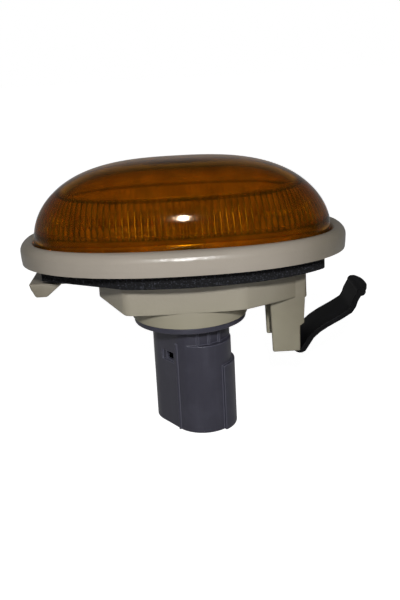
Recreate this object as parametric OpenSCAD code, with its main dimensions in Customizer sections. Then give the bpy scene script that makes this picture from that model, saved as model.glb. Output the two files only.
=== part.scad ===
// Side repeater lamp for a car wing: an amber fluted lens on a cream moulded
// housing, held in a cut-out of the body panel by a hook and a spring clip.
// Millimetres. Z = 0 is the outer face of the panel, +Z points out of the car,
// and +X points from the hook to the spring clip.

/* [Rim] */
// Length of the oval rim
rim_len = 81; // [79:0.5:84]
// Width of the oval rim
rim_wid = 48.5; // [47:0.5:51]
// Fullness of the rim's oval, where 2 is an ellipse
rim_full = 2.23; // [2.15:0.01:2.4]
// Height of the rim's crest
crest_h = 5.5; // [5.2:0.1:6]
// Where the crest lies, as a share of the way from the rim's edge to the lens
crest_at = 0.6; // [0.5:0.05:0.7]
// Height of the rim's upright edge, below its rounded crown
rim_edge_h = 3.2; // [2.6:0.1:3.6]
// Flare of the upright edge, as a share of the way from the edge to the lens
rim_flare = 0.07; // [0:0.01:0.12]
// Height of the rim where its inner slope ends at the lens
groove_h = 4.2; // [3.8:0.1:4.6]
// Thickness of the plate that closes the rim below
plate_t = 2; // [1.6:0.1:2.4]
// Height of the lip that locates the lens from inside
lip_h = 1.4; // [1:0.1:2]
// Thickness of that lip
lip_t = 1.2; // [1:0.1:1.5]

/* [Lens] */
// Length of the lens at its foot
lens_len = 74; // [72:0.2:75]
// Width of the lens at its foot
lens_wid = 40.4; // [39.4:0.2:41.4]
// Height of the lens's foot line, from which the dome rises
foot_h = 5; // [4.8:0.1:5.4]
// Fullness of the lens's oval at its foot
lens_full = 2.54; // [2.4:0.02:2.8]
// Height of the lens's dome above its foot line
lens_h = 18.8; // [18.2:0.1:20.2]
// Lean of the dome's top towards the hook
lens_lean = 0.6; // [0:0.1:1]
// Wall thickness of the lens
lens_t = 2.2; // [1.8:0.1:2.6]
// Number of flutes round the inside of the lens
flute_count = 120; // [90:1:120]
// Depth of a flute
flute_depth = 0.5; // [0.3:0.05:0.6]
// Height of the ledge on which the flutes stand out of the wall
flute_ledge = 0.35; // [0.2:0.05:0.5]
// Height above the foot line at which the flutes start
flute_from = 2.2; // [1.6:0.1:3]
// Height above the foot line at which the flutes end
flute_to = 10.8; // [9.6:0.2:11.8]
// Clearance between the lens's foot and the rim
lens_gap = 0.15; // [0.1:0.05:0.25]

/* [Gasket] */
// Thickness of the foam gasket
gasket_t = 3.9; // [3:0.1:4.5]
// Length of the oval that bounds the gasket, before its ends are cut off
gasket_len = 78; // [76:0.5:79]
// Width of the gasket
gasket_wid = 41.8; // [40:0.2:43]
// Reach of the gasket past the hook's root
gasket_past_root = 3.9; // [3.2:0.1:4.5]
// Reach of the gasket past the clip leg
gasket_past_leg = 4.1; // [3.4:0.1:4.7]
// Half width of the gasket's cut end at the hook
gasket_end_y = 7.8; // [7:0.1:9]
// Distance from the lamp's centre at which the gasket starts to taper to that end
gasket_taper_x = 14; // [12:0.5:16]
// Half width of the gasket where it starts to taper
gasket_taper_y = 19.5; // [18.6:0.1:19.5]
// Clearance between the gasket and the pocket
gasket_gap = 0.4; // [0.3:0.1:0.8]

/* [Pocket] */
// Depth of the pocket behind the panel
pocket_d = 8; // [7:0.1:9]
// Wall thickness of the pocket
wall_t = 1.6; // [1.4:0.1:1.8]
// Reach of the pocket towards the hook
pocket_hook_x = 21.8; // [20.5:0.1:23]
// Half width of the pocket's end at the hook
pocket_end_y = 3.5; // [2.5:0.1:4.5]
// Reach of the pocket's straight front towards the hook
front_hook_x = 14.7; // [13:0.1:16]
// Reach of the pocket's straight front towards the clip
front_clip_x = 14; // [13:0.1:16]
// Reach of the pocket's tapered side towards the clip
taper_clip_x = 27.1; // [26:0.1:28]
// Rise of the pocket's floor at the hook end
floor_rise = 1.9; // [1.2:0.1:2.4]
// Radius of the skirt round the bulb holder, flush with the pocket's front
skirt_r = 14.8; // [14.6:0.1:15.4]
// Depth of the skirt behind the panel
skirt_d = 12; // [11.6:0.1:13]

/* [Hook] */
// Reach of the hook from the lamp's centre
hook_x = 39; // [38:0.1:40]
// Width of the hook's foot
hook_wid = 12; // [10:0.5:13]
// Space for the panel between the free gasket and the hook's foot
hook_gap = 1.1; // [0.9:0.1:1.5]
// Length of the hook's foot along the lamp
foot_len = 8.8; // [8:0.1:9.6]
// Depth of the hook's foot behind the panel
foot_d = 4.7; // [4.2:0.1:5.4]
// Width of the root that joins the foot to the rim
root_wid = 8; // [6:0.5:9]
// Thickness of the tongue that runs from the foot to the root
tongue_t = 1; // [0.8:0.1:1.2]
// Reach of the root, where the panel's edge stops
root_x = 31.2; // [30.6:0.1:31.8]

/* [Clip leg] */
// Reach of the leg's outer wall
leg_out_x = 29.9; // [29.4:0.1:30.6]
// Width of the leg's cheeks along the lamp
leg_len = 9.5; // [9:0.1:10]
// Taper of the leg's inner side, down to its end
leg_taper = 0.8; // [0.4:0.1:1.2]
// Width of the leg over its two cheeks
leg_wid = 15; // [14:0.2:16]
// Thickness of a cheek
cheek_t = 1.3; // [1.1:0.1:1.6]
// Depth of the leg behind the panel
leg_d = 22; // [21:0.1:23]
// Depth of the leg's outer wall behind the panel
outer_wall_d = 14.7; // [14:0.1:15.4]

/* [Spring clip] */
// Thickness of the clip's leaf
leaf_t = 1.4; // [1.2:0.1:1.6]
// Clearance round the clip in the leg
clip_gap = 0.2; // [0.15:0.05:0.3]
// Thickness of the clip's tang in the leg
tang_t = 2.6; // [2.2:0.1:2.8]
// Distance of the middle of the clip's bead from the lamp's centre
bead_x = 43.9; // [43.4:0.1:44.4]
// Depth of the bead's middle behind the panel
bead_d = 7.85; // [7.4:0.05:8.3]
// Radius of the bead
bead_r = 1.1; // [1:0.05:1.2]
// Reach of the thumb pad past the bead's middle
pad_len = 1.8; // [1.4:0.1:2.4]
// Radius of the thumb pad's curved edge
pad_r = 12.8; // [11:0.2:16]

/* [Bulb holder] */
// Distance of the holder's axis from the lamp's centre
holder_x = 0.8; // [0:0.1:1.5]
// Turn of the holder's connector from the lamp's length
holder_turn = 125.8; // [115:0.2:135]
// Radius of the holder's flange
flange_r = 14.35; // [14:0.05:14.5]
// Thickness of the holder's flange
flange_t = 1.3; // [1.1:0.1:1.6]
// Gap that the seal keeps between the skirt and the flange
seal_gap = 0.2; // [0.15:0.05:0.4]
// Radius of the turret that passes into the pocket
turret_r = 9.3; // [9:0.1:9.5]
// Clearance round the turret
turret_gap = 0.3; // [0.2:0.05:0.4]
// Height of the turret above the pocket's floor
turret_h = 4; // [3.6:0.1:4.6]
// Reach of the bayonet lugs past the turret
lug_reach = 1.9; // [1.6:0.1:2.2]
// Thickness of the bayonet lugs
lug_t = 1.7; // [1.4:0.1:2]
// Thickness of the rubber seal
seal_t = 2; // [1.6:0.1:2.4]
// Radius of the holder's neck, which the shroud's flats cut on two sides
neck_r = 10; // [9.6:0.1:10.4]
// Length of the neck below the flange
neck_h = 4.7; // [4.2:0.1:5.4]

/* [Connector] */
// Length of the connector shroud
shroud_len = 23.3; // [21:0.1:25]
// Half width of the shroud, and radius of its round ends
shroud_r = 7.75; // [7.4:0.05:8.1]
// Distance between the centres of the shroud's round ends
shroud_span = 7.8; // [7.2:0.1:8.4]
// Wall thickness of the shroud
shroud_t = 1.4; // [1.2:0.1:1.6]
// Thickness of the shroud's end wall
web_t = 2.3; // [2:0.1:2.8]
// Height of the raised key on the shroud
key_t = 0.8; // [0.5:0.1:1]
// Distance of the key's top from the top of the shroud
key_drop = 5.9; // [5:0.1:7]
// Width of the recess round the lock window
recess_wid = 5; // [4.6:0.1:5.4]
// Height of that recess
recess_h = 2.6; // [2.3:0.1:3]
// Distance of the recess from the shroud's top
recess_drop = 3; // [2:0.1:4]
// Width of the lock window
window_wid = 3.5; // [2.6:0.1:4]
// Height of the lock window
window_h = 1.9; // [1.5:0.1:2.2]

/* [Terminals] */
// Width of a terminal blade
blade_wid = 2.3; // [2:0.1:2.8]
// Thickness of a terminal blade
blade_t = 0.8; // [0.6:0.05:0.9]
// Distance between the two blades
blade_pitch = 5.4; // [5:0.1:6]
// Length of a blade inside the shroud
blade_len = 12; // [10:0.5:14]
// Clearance round a terminal in the holder
blade_gap = 0.1; // [0.05:0.05:0.15]

/* [Bulb] */
// Diameter of the bulb's glass
bulb_dia = 10; // [9.6:0.1:10.3]
// Height of the bulb above its wedge base
bulb_h = 17.5; // [16:0.5:18.5]
// Thickness of the bulb's glass
bulb_t = 0.6; // [0.5:0.05:0.8]
// Width of the bulb's wedge base
wedge_wid = 9.5; // [9:0.1:9.8]
// Thickness of the bulb's wedge base
wedge_t = 2.1; // [2:0.05:2.2]
// Length of the bulb's wedge base
wedge_h = 7; // [6.5:0.1:7.5]
// Diameter of the bulb's lead wires
lead_dia = 0.5; // [0.4:0.05:0.6]
// Length of the leads that is folded back on the wedge base
lead_tail = 5; // [4:0.5:6]

/* [Hidden] */
$fn = 64;
eps = 0.01;

amber = [0.85, 0.45, 0.02, 0.75];
cream = "#d9d2b8";
foam_black = "#2b2c33";
clip_black = "#202022";
socket_grey = "#81828f";
brass = "#c8a452";

// Levels along Z
z_rim = gasket_t;
z_plate = z_rim + plate_t;
z_foot = z_rim + foot_h;
z_floor = -pocket_d;
z_floor_top = z_floor + wall_t;
z_flange = -skirt_d - seal_gap;
z_neck = z_flange - flange_t;
z_shroud = z_neck - neck_h;
z_mouth = z_shroud - shroud_len;
z_web = z_shroud - web_t;
z_turret = z_floor_top + turret_h;

// Reach of the gasket's two cut ends
gasket_hook_x = root_x + gasket_past_root;
gasket_clip_x = leg_out_x + gasket_past_leg;

// Half axes of the ovals
rim_a = rim_len / 2;
rim_b = rim_wid / 2;
lens_a = lens_len / 2;
lens_b = lens_wid / 2;
leg_y = leg_wid / 2;

// Point on an oval of fullness n at the angle t, and its outward direction
function spread(v, n) = sign(v) * pow(abs(v), 2 / n);
function oval_point(a, b, n, t) = [a * spread(cos(t), n), b * spread(sin(t), n)];
function unit(v) = v / norm(v);
function steep(v, n) = sign(v) * pow(abs(v), 2 - 2 / n);
function oval_out(a, b, n, t) = unit([steep(cos(t), n) / a, steep(sin(t), n) / b]);
function oval(a, b, n, turns) = [for (t = turns) oval_point(a, b, n, t)];

// Angles that cut an oval into count pieces of equal length
function step_lengths(a, b, n, m) = [
    for (i = [1:m])
        norm(oval_point(a, b, n, 360 * i / m) - oval_point(a, b, n, 360 * (i - 1) / m))
];
function running(v) = [for (i = 0, s = 0; i <= len(v); s = s + (i < len(v) ? v[i] : 0), i = i + 1) s];
function even_turns(a, b, n, count, m = 720) =
    let (sums = running(step_lengths(a, b, n, m)))
    let (pairs = [for (i = [0:m]) [sums[i], 360 * i / m]])
    [for (k = [0:count - 1]) lookup(k * sums[m] / count, pairs)];

// Triangles between ring p of np points and the next ring q of nq points
function band(p, np, q, nq) =
    np == nq ? [
        for (i = [0:np - 1], j = [0, 1]) let (k = (i + 1) % np)
            j == 0 ? [p + i, q + k, q + i] : [p + i, p + k, q + k]
    ] :
    np == 1 ? [for (i = [0:nq - 1]) [p, q + (i + 1) % nq, q + i]] :
    nq == 1 ? [for (i = [0:np - 1]) [p + i, p + (i + 1) % np, q]] :
    np < nq ? split_band(p, np, q, nq, false) : split_band(q, nq, p, np, true);

// The same between a coarse ring c and a ring f with several points to each of its own
function split_band(c, nc, f, nf, back) =
    let (m = nf / nc, h = floor(m / 2))
    [
        for (i = [0:nc - 1], j = [0:m]) let (
            near = c + i,
            far = c + (i + 1) % nc,
            f0 = f + (i * m + j) % nf,
            f1 = f + (i * m + j + 1) % nf,
            mid = f + (i * m + h) % nf,
            tri = j == m ? [near, far, mid] : [j < h ? near : far, f1, f0]
        ) back ? [tri[0], tri[2], tri[1]] : tri
    ];

// Solid through a list of rings; the end rings are closed with one face each
module loft(rings) {
    counts = [for (r = rings) len(r)];
    starts = running(counts);
    last = len(rings) - 1;
    bands = [for (i = [0:last - 1]) each band(starts[i], counts[i], starts[i + 1], counts[i + 1])];
    first_cap = counts[0] > 1 ? [[for (i = [0:counts[0] - 1]) i]] : [];
    last_cap = counts[last] > 1 ? [[for (i = [counts[last] - 1:-1:0]) starts[last] + i]] : [];
    polyhedron([for (r = rings) each r], concat(bands, first_cap, last_cap), convexity = 6);
}

function at_height(points, z) = [for (p = points) [p.x, p.y, z]];

// Outline with round corners: corner i of points gets the radius radii[i]
function corner_arc(a, b, c, r, steps) =
    let (u = unit(a - b), v = unit(c - b), half = acos(u * v) / 2)
    let (centre = b + unit(u + v) * r / sin(half))
    let (first = b + u * r / tan(half), last = b + v * r / tan(half))
    let (t0 = atan2(first.y - centre.y, first.x - centre.x))
    let (t1 = atan2(last.y - centre.y, last.x - centre.x))
    let (turn = t1 - t0 > 180 ? t1 - t0 - 360 : t1 - t0 < -180 ? t1 - t0 + 360 : t1 - t0)
    [for (k = [0:steps]) centre + r * [cos(t0 + turn * k / steps), sin(t0 + turn * k / steps)]];
function rounded(points, radii, steps = 5) =
    let (n = len(points))
    [
        for (i = [0:n - 1])
            each corner_arc(points[(i + n - 1) % n], points[i], points[(i + 1) % n], radii[i], steps)
    ];

// Outline moved inwards by d, side by side; the points run anticlockwise
function side_in(p, q, d) = let (u = unit(q - p)) [p + d * [-u.y, u.x], u];
function meet(l, m) =
    let (d = m[0] - l[0], k = l[1].x * m[1].y - l[1].y * m[1].x)
    l[0] + l[1] * (d.x * m[1].y - d.y * m[1].x) / k;
function moved_in(points, d) =
    let (n = len(points), lines = [for (i = [0:n - 1]) side_in(points[i], points[(i + 1) % n], d)])
    [for (i = [0:n - 1]) meet(lines[(i + n - 1) % n], lines[i])];

// Height of the dome at the share g of its foot, and the share at a height
dome_p = 2.88;
dome_m = 2;
function dome_z(g, h) = h * pow(1 - pow(g, dome_p), 1 / dome_m);
function dome_g(z, h) = pow(1 - pow(z / h, dome_m), 1 / dome_p);

// Points at the height z, moved towards the hook as the dome leans
function leant(points, z) =
    let (x = lens_lean * max(z - z_foot, 0) / lens_h)
    [for (p = points) [p.x - x, p.y, z]];

// Ring of the lens at the share g of its foot, set in by d from the outside
function dome_ring(g, d, z, turns) =
    leant(oval((lens_a - d) * g, (lens_b - d) * g, lens_full, turns), z);

// Ring of the flutes at the share g: each flute is a round rib that stands inwards
flute_points = 4;
function flute_wave(i) = [0, 0.75, 1, 0.75][i % flute_points];
function flute_ring(g, z, turns) =
    let (a = (lens_a - lens_t) * g, b = (lens_b - lens_t) * g)
    leant([
        for (i = [0:len(turns) - 1])
            let (depth = flute_ledge + flute_depth * flute_wave(i))
                oval_point(a, b, lens_full, turns[i]) - depth * oval_out(a, b, lens_full, turns[i])
    ], z);

// The amber lens: a clear crown, a fluted wall inside and a foot in the rim's well
module lens() {
    h_in = lens_h - lens_t;
    flute_turns = even_turns(lens_a, lens_b, lens_full, flute_count * flute_points);
    turns = [for (i = [0:flute_points:len(flute_turns) - 1]) flute_turns[i]];
    outer_steps = 14;
    crown_steps = 4;
    flute_steps = 4;
    ring_g = dome_g(flute_to, h_in);
    outer = [
        for (k = [1:outer_steps]) let (g = sin(90 * k / outer_steps))
            dome_ring(g, 0, z_foot + dome_z(g, lens_h), turns)
    ];
    foot = [
        dome_ring(1, 0, z_plate, turns),
        dome_ring(1, lens_t, z_plate, turns),
        dome_ring(1, lens_t, z_foot, turns),
        dome_ring(dome_g(flute_from, h_in), lens_t, z_foot + flute_from, turns)
    ];
    flutes = [
        for (k = [0:flute_steps]) let (z = flute_from + (flute_to - flute_from) * sin(90 * k / flute_steps))
            flute_ring(dome_g(z, h_in), z_foot + z, flute_turns)
    ];
    crown = [
        for (k = [crown_steps:-1:1]) let (g = ring_g * k / crown_steps)
            dome_ring(g, lens_t, z_foot + dome_z(g, h_in), turns)
    ];
    color(amber)
        loft(concat(
            [leant([[0, 0]], z_foot + lens_h)],
            outer, foot, flutes, crown,
            [leant([[0, 0]], z_foot + h_in)]
        ));
}

// Corners of the pocket's outline, anticlockwise from the hook end
pocket_points = [
    [-pocket_hook_x, -pocket_end_y],
    [-front_hook_x, -skirt_r],
    [front_clip_x, -skirt_r],
    [taper_clip_x, -leg_y],
    [leg_out_x, -leg_y],
    [leg_out_x, leg_y],
    [taper_clip_x, leg_y],
    [front_clip_x, skirt_r],
    [-front_hook_x, skirt_r],
    [-pocket_hook_x, pocket_end_y]
];
pocket_radii = [1.2, 3, 5, 0.8, 0.6, 0.6, 0.8, 5, 3, 1.2];
pocket_inner_radii = [0.4, 1.6, 3.6, 2, 0.4, 0.4, 2, 3.6, 1.6, 0.4];
inner_points = moved_in(pocket_points, wall_t);

// Ring of the rim at the share f of the way from its edge to the lens
function rim_ring(f, z, turns) =
    let (a = rim_a + (lens_a + lens_gap - rim_a) * f, b = rim_b + (lens_b + lens_gap - rim_b) * f)
    at_height(oval(a, b, rim_full + (lens_full - rim_full) * max(f, 0), turns), z_rim + z);

// The rim: an oval plate with a flared edge, a rounded crest and a slope down to the lens
module rim() {
    turns = even_turns(rim_a, rim_b, rim_full, 120);
    crown_steps = 6;
    slope_steps = 4;
    edge = [rim_ring(0, 0, turns), rim_ring(-rim_flare * 0.7, rim_edge_h / 2, turns)];
    crown = [
        for (k = [0:crown_steps]) let (t = 90 * k / crown_steps)
            rim_ring(
                (crest_at + rim_flare) * (1 - cos(t)) - rim_flare,
                rim_edge_h + (crest_h - rim_edge_h) * sin(t),
                turns
            )
    ];
    slope = [
        for (k = [1:slope_steps]) let (t = 90 * k / slope_steps)
            rim_ring(
                crest_at + (1 - crest_at) * sin(t),
                crest_h - (crest_h - groove_h) * (1 - cos(t)),
                turns
            )
    ];
    difference() {
        mirror([0, 0, 1])
            loft(concat(
                [[[0, 0, -z_rim]]],
                [for (r = concat(edge, crown, slope)) [for (p = r) [p.x, p.y, -p.z]]],
                [[[0, 0, -z_rim - groove_h]]]
            ));
        translate([0, 0, z_plate])
            linear_extrude(crest_h)
                polygon(oval(lens_a + lens_gap, lens_b + lens_gap, lens_full, turns));
    }
    lip_a = lens_a - lens_t - lens_gap;
    lip_b = lens_b - lens_t - lens_gap;
    translate([0, 0, z_plate - eps])
        linear_extrude(lip_h + eps)
            difference() {
                polygon(oval(lip_a, lip_b, lens_full, turns));
                polygon(oval(lip_a - lip_t, lip_b - lip_t, lens_full, turns));
            }
}

// Shape in the XZ plane, drawn as x and z, given a width along Y
module across(width) {
    translate([0, width / 2, 0])
        rotate([90, 0, 0])
            linear_extrude(width)
                children();
}

// The hook: a wide foot that grips the panel from behind, on a root below the rim
module hook() {
    top = -hook_gap;
    foot_end = -hook_x + foot_len;
    across(hook_wid)
        polygon([
            [-hook_x + 0.1, top],
            [-hook_x + 0.5, top - 1.4],
            [-hook_x + 1.6, -foot_d],
            [-hook_x + 4.4, -foot_d],
            [foot_end, top]
        ]);
    across(root_wid)
        polygon([
            [foot_end - tongue_t - 1, top],
            [-root_x, top],
            [-root_x, z_plate - eps],
            [-pocket_hook_x + wall_t / 2, z_plate - eps],
            [-pocket_hook_x + wall_t / 2, top - tongue_t],
            [foot_end - tongue_t - 1, top - tongue_t]
        ]);
}

// Slot between the leg's inner web and its outer wall, which takes the clip's tang
slot_out_x = leg_out_x - 1.5;
slot_in_x = slot_out_x - tang_t - 2 * clip_gap;
catch_d = 11.5;
catch_h = 2;

// The leg: two tapered cheeks with an outer wall and an inner web between them
module leg() {
    in_x = leg_out_x - leg_len;
    for (side = [-1, 1])
        translate([0, side * (leg_y - cheek_t / 2), 0])
            across(cheek_t)
                polygon([
                    [in_x, z_plate - eps],
                    [in_x + leg_taper, -leg_d],
                    [leg_out_x - 1.8, -leg_d],
                    [leg_out_x - 1.7, -outer_wall_d - 0.7],
                    [leg_out_x - 0.8, -outer_wall_d],
                    [leg_out_x, z_rim]
                ]);
    difference() {
        union() {
            across(leg_wid - eps)
                polygon([
                    [slot_out_x, z_floor + eps],
                    [slot_out_x, -outer_wall_d],
                    [leg_out_x - 0.8, -outer_wall_d],
                    [leg_out_x - 0.35, z_floor + eps]
                ]);
            across(leg_wid - eps)
                polygon([
                    [slot_in_x - 1.4, z_floor + eps],
                    [slot_in_x - 1.4, -outer_wall_d],
                    [slot_in_x, -outer_wall_d],
                    [slot_in_x, z_floor + eps]
                ]);
        }
        translate([slot_out_x - 1, -3 - clip_gap, -catch_d - catch_h / 2 - clip_gap])
            cube([4, 6 + 2 * clip_gap, catch_h + 2 * clip_gap]);
    }
}

collar_d = z_flange + seal_t;
lug_turns = [60, 180, 300];
notch_turn = 45;

// The housing: rim, pocket, skirt, hook and clip leg in one moulding
module housing() {
    color(cream)
        difference() {
            union() {
                rim();
                difference() {
                    translate([0, 0, z_floor])
                        linear_extrude(z_plate - z_floor - eps)
                            polygon(rounded(pocket_points, pocket_radii));
                    translate([-front_hook_x, 0, z_floor])
                        rotate([0, atan(floor_rise / (pocket_hook_x - front_hook_x)), 0])
                            translate([-2 * pocket_hook_x, -rim_b, -2 * wall_t])
                                cube([2 * pocket_hook_x, 2 * rim_b, 2 * wall_t]);
                }
                translate([holder_x, 0, -skirt_d])
                    cylinder(r = skirt_r, h = skirt_d - pocket_d + eps);
                leg();
                hook();
            }
            difference() {
                translate([0, 0, z_floor_top])
                    linear_extrude(z_plate - z_floor_top + lip_h + 1)
                        polygon(rounded(inner_points, pocket_inner_radii));
                translate([-front_hook_x, 0, z_floor_top])
                    rotate([0, atan(floor_rise / (pocket_hook_x - front_hook_x)), 0])
                        translate([-2 * pocket_hook_x, -rim_b, -2 * wall_t])
                            cube([2 * pocket_hook_x, 2 * rim_b, 2 * wall_t]);
            }
            translate([holder_x, 0, 0]) {
                difference() {
                    translate([0, 0, -skirt_d - 1])
                        cylinder(r = skirt_r - wall_t, h = skirt_d - pocket_d + 1);
                    translate([0, 0, collar_d])
                        cylinder(r = turret_r + lug_reach + 1.2, h = skirt_d);
                }
                translate([0, 0, -skirt_d])
                    cylinder(r = turret_r + turret_gap, h = skirt_d);
                for (t = lug_turns)
                    rotate([0, 0, t + notch_turn])
                        translate([0, -3, -skirt_d])
                            cube([turret_r + lug_reach + turret_gap, 6, skirt_d]);
            }
        }
}

// The foam gasket round the pocket: an oval with two cut ends, tapered to the hook
module gasket() {
    color(foam_black)
        linear_extrude(gasket_t)
            difference() {
                intersection() {
                    polygon(oval(gasket_len / 2, gasket_wid / 2, 2, [for (i = [0:95]) i * 360 / 96]));
                    polygon(rounded([
                        [-gasket_hook_x, -gasket_end_y],
                        [-gasket_taper_x, -gasket_taper_y],
                        [-gasket_taper_x, -gasket_wid],
                        [gasket_clip_x, -gasket_wid],
                        [gasket_clip_x, gasket_wid],
                        [-gasket_taper_x, gasket_wid],
                        [-gasket_taper_x, gasket_taper_y],
                        [-gasket_hook_x, gasket_end_y]
                    ], [1, 1, 1, 1, 1, 1, 1, 1]));
                }
                polygon(rounded(moved_in(pocket_points, -gasket_gap), pocket_radii));
                translate([-root_x - gasket_gap, -root_wid / 2 - gasket_gap])
                    square([root_x, root_wid + 2 * gasket_gap]);
            }
}

// Middle line of the clip's spring leaf from its bend under the leg to its head
bend_r = 1.4;
bend_x = slot_out_x - clip_gap - tang_t + leaf_t / 2 + bend_r + 0.7;
bend_z = -leg_d + bend_r - 0.5;
leaf_bend = [for (t = [180:20:310]) [bend_x + bend_r * cos(t), bend_z + bend_r * sin(t)]];
leaf_end = leaf_bend[len(leaf_bend) - 1];
leaf_way = [bead_x - leaf_end.x, -bead_d - leaf_end.y];
leaf_shares = [
    [0.149, 0.236],
    [0.264, 0.340],
    [0.412, 0.436],
    [0.642, 0.561],
    [0.811, 0.665],
    [0.865, 0.748],
    [0.899, 0.851],
    [0.980, 1]
];
leaf_run = [for (p = leaf_shares) leaf_end + [p.x * leaf_way.x, p.y * leaf_way.y]];
leaf_line = concat([[bend_x - bend_r, -outer_wall_d]], leaf_bend, leaf_run);

// Outline of a strip of thickness t along a line
function line_side(line, i, d) =
    let (p = line[max(i - 1, 0)], q = line[min(i + 1, len(line) - 1)], u = unit(q - p))
    line[i] + d * [-u.y, u.x];
function strip(line, t) = concat(
    [for (i = [0:len(line) - 1]) line_side(line, i, t / 2)],
    [for (i = [len(line) - 1:-1:0]) line_side(line, i, -t / 2)]
);

// The spring clip: a tang in the leg, a bent leaf and a bead with a thumb pad
module spring_clip() {
    wid = leg_wid - 2 * cheek_t - 2 * clip_gap;
    tang_x = slot_out_x - clip_gap - tang_t;
    color(clip_black) {
        across(wid)
            union() {
                polygon(strip(leaf_line, leaf_t));
                translate([tang_x, -outer_wall_d - 3])
                    square([tang_t, outer_wall_d + 3 - pocket_d - clip_gap]);
                translate([bead_x, -bead_d])
                    circle(bead_r);
            }
        intersection() {
            across(wid)
                union() {
                    translate([bead_x, -bead_d])
                        square([pad_len, bead_r]);
                    translate([bead_x + pad_len, -bead_d + bead_r / 2])
                        circle(bead_r / 2);
                }
            translate([bead_x + pad_len + bead_r / 2 - pad_r, 0, -bead_d - 5])
                cylinder(r = pad_r, h = 10, $fn = 128);
        }
        across(6)
            polygon([
                [slot_out_x - clip_gap - eps, -catch_d - catch_h / 2],
                [slot_out_x + 1, -catch_d - catch_h / 2],
                [slot_out_x - clip_gap - eps, -catch_d + catch_h / 2]
            ]);
    }
}

// Places its children on the holder's axis, turned with the connector
module at_holder() {
    translate([holder_x, 0, 0])
        rotate([0, 0, holder_turn])
            children();
}

// Outline of the connector: two round ends joined by flats
module shroud_outline(r) {
    for (side = [-1, 1])
        translate([side * shroud_span / 2, 0])
            circle(r);
    square([shroud_span, 2 * r], center = true);
}

// Side profile of a terminal, drawn across the holder: blade, jog and contact
blade_end = z_web - blade_len;
contact_y = wedge_t / 2 + lead_dia + 0.1 + blade_t / 2;
wedge_z = z_turret - wedge_h + 0.2;
terminal_line = [
    [0, blade_end],
    [0, z_neck - 1],
    [contact_y, z_neck + 1.5],
    [contact_y, z_turret - 1]
];
slot_wid = wedge_wid + 0.5;

module terminal(side, gap) {
    translate([side * blade_pitch / 2, 0, 0])
        rotate([0, 0, side > 0 ? 90 : -90])
            across(blade_wid + 2 * gap)
                polygon(strip(terminal_line, blade_t + 2 * gap));
}

// Ribs on the neck: thickness, height, and the turn from one to the next
neck_rib_t = 0.6;
neck_rib_h = 0.5;
neck_rib_turn = 17.3;
neck_rib_shift = -10.5;

// The bulb holder: turret with bayonet lugs, flange, ribbed neck and connector shroud
module bulb_holder() {
    color(socket_grey)
        at_holder()
            difference() {
                union() {
                    translate([0, 0, z_flange - eps])
                        cylinder(r = turret_r, h = z_turret - z_flange + eps);
                    for (t = lug_turns)
                        rotate([0, 0, t - holder_turn])
                            intersection() {
                                translate([0, -2.5, z_floor_top + 0.1])
                                    cube([turret_r + lug_reach + 1, 5, lug_t]);
                                cylinder(r = turret_r + lug_reach, h = 100, center = true);
                            }
                    translate([0, 0, z_neck])
                        cylinder(r = flange_r, h = flange_t);
                    neck();
                    translate([0, 0, z_mouth])
                        linear_extrude(shroud_len)
                            shroud_outline(shroud_r);
                    translate([-shroud_span / 2, shroud_r, z_mouth])
                        cylinder(r = 0.4, h = shroud_len);
                    shroud_key();
                }
                translate([0, 0, z_mouth - 1])
                    linear_extrude(shroud_len - web_t + 1)
                        shroud_outline(shroud_r - shroud_t);
                lock_window();
                translate([-slot_wid / 2, -contact_y - blade_t / 2 - 0.1, wedge_z - lead_dia - 0.3])
                    cube([slot_wid, 2 * contact_y + blade_t + 0.2, 100]);
                for (side = [-1, 1])
                    terminal(side, blade_gap);
            }
}

// The neck: as wide as the shroud's flats, with three thin ribs on each round side
module neck() {
    intersection() {
        union() {
            translate([0, 0, z_shroud - eps])
                cylinder(r = neck_r, h = neck_h + 2 * eps);
            for (t = [0, 180], k = [-1:1])
                rotate([0, 0, t + neck_rib_turn * k + neck_rib_shift])
                    translate([0, -neck_rib_t / 2, z_shroud - eps])
                        cube([neck_r + neck_rib_h, neck_rib_t, neck_h + 2 * eps]);
        }
        translate([0, 0, z_shroud - 1])
            linear_extrude(neck_h + 2)
                shroud_outline(shroud_r);
    }
}

// The raised key on the connector's round end at the clip side
module shroud_key() {
    intersection() {
        translate([-shroud_span / 2, 0, z_mouth])
            cylinder(r = shroud_r + key_t, h = shroud_len - key_drop);
        translate([-shroud_span / 2, 0, z_mouth])
            rotate([0, 0, 184])
                cube([2 * shroud_r, 2 * shroud_r, shroud_len]);
    }
}

// The lock window in the connector's flat side, in a shallow recess
module lock_window() {
    recess_x = -shroud_span / 2 + 1.5;
    border = (recess_h - window_h) / 2;
    translate([recess_x, shroud_r - 0.5, z_shroud - recess_drop - recess_h])
        cube([recess_wid, 2, recess_h]);
    translate([recess_x + 0.1, shroud_r - shroud_t - 1, z_shroud - recess_drop - border - window_h])
        cube([window_wid, shroud_t + 2, window_h]);
}

// The rubber seal between the skirt's collar and the holder's flange
module holder_seal() {
    color("#2f2f33")
        translate([holder_x, 0, 0])
            rotate_extrude()
                difference() {
                    translate([turret_r + 0.15, z_flange])
                        square([skirt_r - wall_t - 0.3 - turret_r - 0.15, seal_t]);
                    translate([skirt_r - wall_t - 0.3, z_flange + seal_t / 2])
                        circle(seal_t / 4);
                }
}

module terminal_left() {
    color(brass) at_holder() terminal(-1, 0);
}

module terminal_right() {
    color(brass) at_holder() terminal(1, 0);
}

// Levels of the bulb: the envelope starts where the wedge base ends
bulb_r = bulb_dia / 2;
z_pinch = wedge_z + wedge_h;
z_bulb_top = z_pinch + bulb_h;
lead_x = wedge_wid / 4;

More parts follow.
